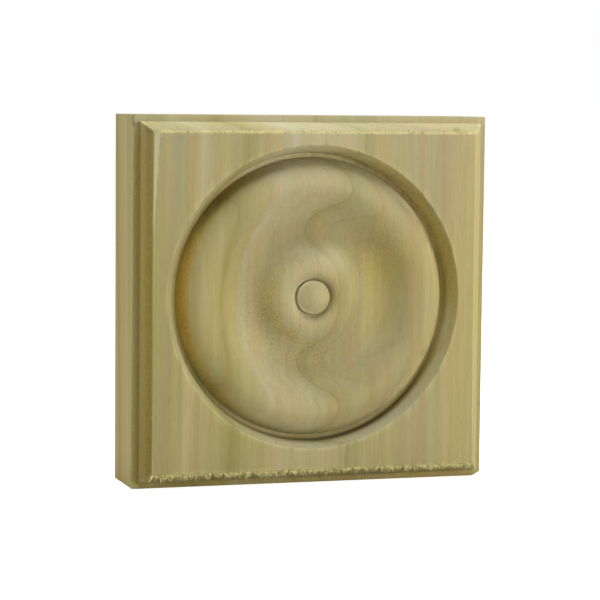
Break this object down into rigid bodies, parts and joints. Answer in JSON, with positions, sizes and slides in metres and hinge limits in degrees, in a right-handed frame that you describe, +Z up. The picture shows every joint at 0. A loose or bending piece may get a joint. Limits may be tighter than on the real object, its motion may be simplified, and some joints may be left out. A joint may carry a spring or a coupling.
{
  "type": "corner rosette block",
  "caption": "Square unfinished wooden corner block with a moulded edge and a turned bull's-eye rosette, set where door or window casings meet.",
  "frame": {"origin": "centre of the flat back face that lies on the wall", "axes": "+Y into the wall, so the moulded face looks along -Y; +Z up along the grain; +X to the right of someone facing the block"},
  "size_m": [0.0888, 0.0222, 0.0888],
  "materials": {
    "poplar": "raw machined poplar, sanded, no stain or paint"
  },
  "bodies": {
    "root": {"rosette_block": "poplar"}
  },
  "joints": []
}
